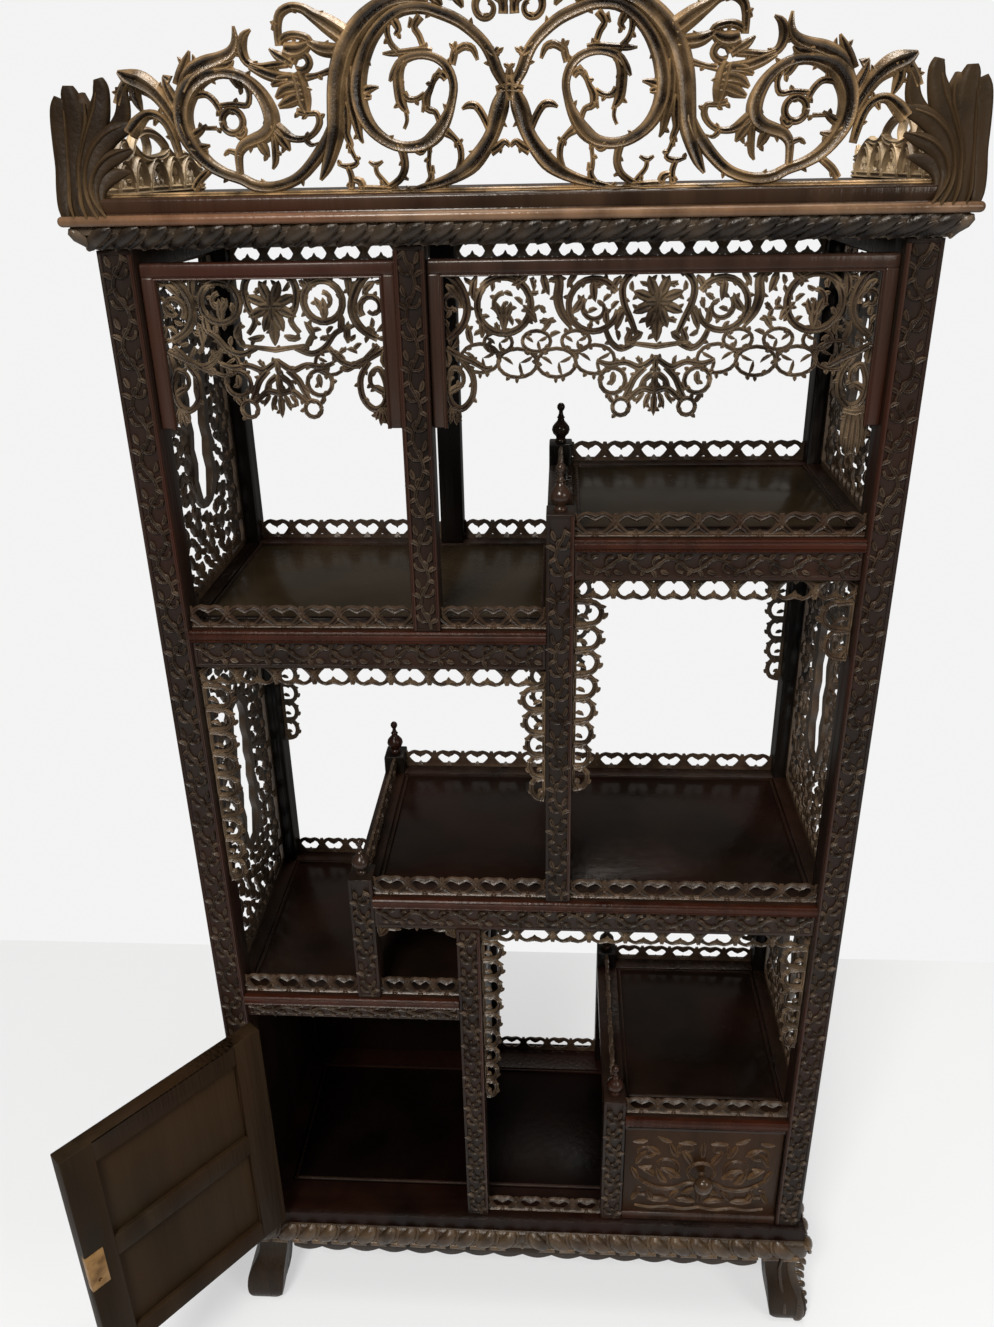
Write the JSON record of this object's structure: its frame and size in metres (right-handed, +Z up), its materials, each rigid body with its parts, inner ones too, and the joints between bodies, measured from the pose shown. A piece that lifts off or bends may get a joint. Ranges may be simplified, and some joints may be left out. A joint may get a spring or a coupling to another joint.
{
  "type": "chinese book cabinet",
  "caption": "Tall stepped display and book cabinet with open shelves, pierced carved galleries, aprons and crest, a hinged cupboard door and a drawer, on short cabriole feet.",
  "frame": {"origin": "on the floor under the middle of the bounding box, with the door open as in the picture", "axes": "+X to the viewer's right, -Y to the front, +Z up"},
  "size_m": [0.968, 0.5796, 1.75],
  "materials": {
    "dark_rosewood": "satin lacquer",
    "carved_rosewood": "satin lacquer rubbed golden on the raised carving",
    "panel_rosewood": "semi-gloss lacquer",
    "reddish_rosewood": "satin lacquer",
    "brass": "aged satin"
  },
  "bodies": {
    "cabinet": {"front_post_left": "dark_rosewood", "rear_post_left": "dark_rosewood", "front_post_right": "dark_rosewood", "rear_post_right": "dark_rosewood", "upper_divider_post": "dark_rosewood", "rear_inner_posts": "dark_rosewood", "upper_step_post": "dark_rosewood", "lower_step_post": "dark_rosewood", "cupboard_jamb_post": "dark_rosewood", "drawer_bay_post": "dark_rosewood", "step_post_finials": "carved_rosewood", "upper_left_shelf_frame": "dark_rosewood", "upper_left_shelf_panel": "panel_rosewood", "upper_right_shelf_frame": "dark_rosewood", "upper_right_shelf_panel": "panel_rosewood", "middle_shelf_frame": "dark_rosewood", "middle_shelf_panel": "panel_rosewood", "lower_left_shelf_frame": "dark_rosewood", "lower_left_shelf_panel": "panel_rosewood", "drawer_top_shelf_frame": "dark_rosewood", "drawer_top_shelf_panel": "panel_rosewood", "base_floor_frame": "dark_rosewood", "base_floor_panel": "panel_rosewood", "base_moulding": "carved_rosewood", "base_skirt": "carved_rosewood", "feet": "carved_rosewood", "front_galleries": "carved_rosewood", "rear_galleries": "carved_rosewood", "step_galleries": "carved_rosewood", "apron_middle_left": "carved_rosewood", "apron_middle_right": "carved_rosewood", "apron_lower_right": "carved_rosewood", "rear_aprons": "carved_rosewood", "apron_niche": "carved_rosewood", "apron_upper_left": "reddish_rosewood", "apron_upper_right": "reddish_rosewood", "left_side_frets": "carved_rosewood", "right_side_frets": "carved_rosewood", "top_side_rails": "dark_rosewood", "rear_top_frieze": "carved_rosewood", "cupboard_side_panel": "panel_rosewood", "cupboard_divider_panel": "panel_rosewood", "cupboard_back_panel": "panel_rosewood", "drawer_bay_panels": "panel_rosewood", "cornice_rope_moulding": "carved_rosewood", "cornice_board": "reddish_rosewood", "crest_front": "carved_rosewood", "crest_left_return": "carved_rosewood", "crest_right_return": "carved_rosewood", "hinge_fixed_leaves": "brass", "drawer_runners": "reddish_rosewood"},
    "door": {"door_frame": "dark_rosewood", "door_panels": "panel_rosewood", "hinge_moving_leaves": "brass", "door_pull": "dark_rosewood", "door_lock": "brass"},
    "bolt": {"lock_bolt": "brass"},
    "drawer": {"drawer_front": "carved_rosewood", "drawer_box": "reddish_rosewood", "drawer_knob": "carved_rosewood"}
  },
  "joints": [
    {"name": "door_hinge", "type": "hinge", "parent": "cabinet", "child": "door", "pos_m": [-0.30466, -0.05418, 0.3705], "axis": [0, 0, 1], "range_deg": [-25, 129]},
    {"name": "lock_bolt_slide", "type": "slide", "parent": "door", "child": "bolt", "axis": [-0.6293, -0.7771, 0], "range_m": [0, 0.006]},
    {"name": "drawer_slide", "type": "slide", "parent": "cabinet", "child": "drawer", "axis": [0, -1, 0], "range_m": [0, 0.2]}
  ]
}
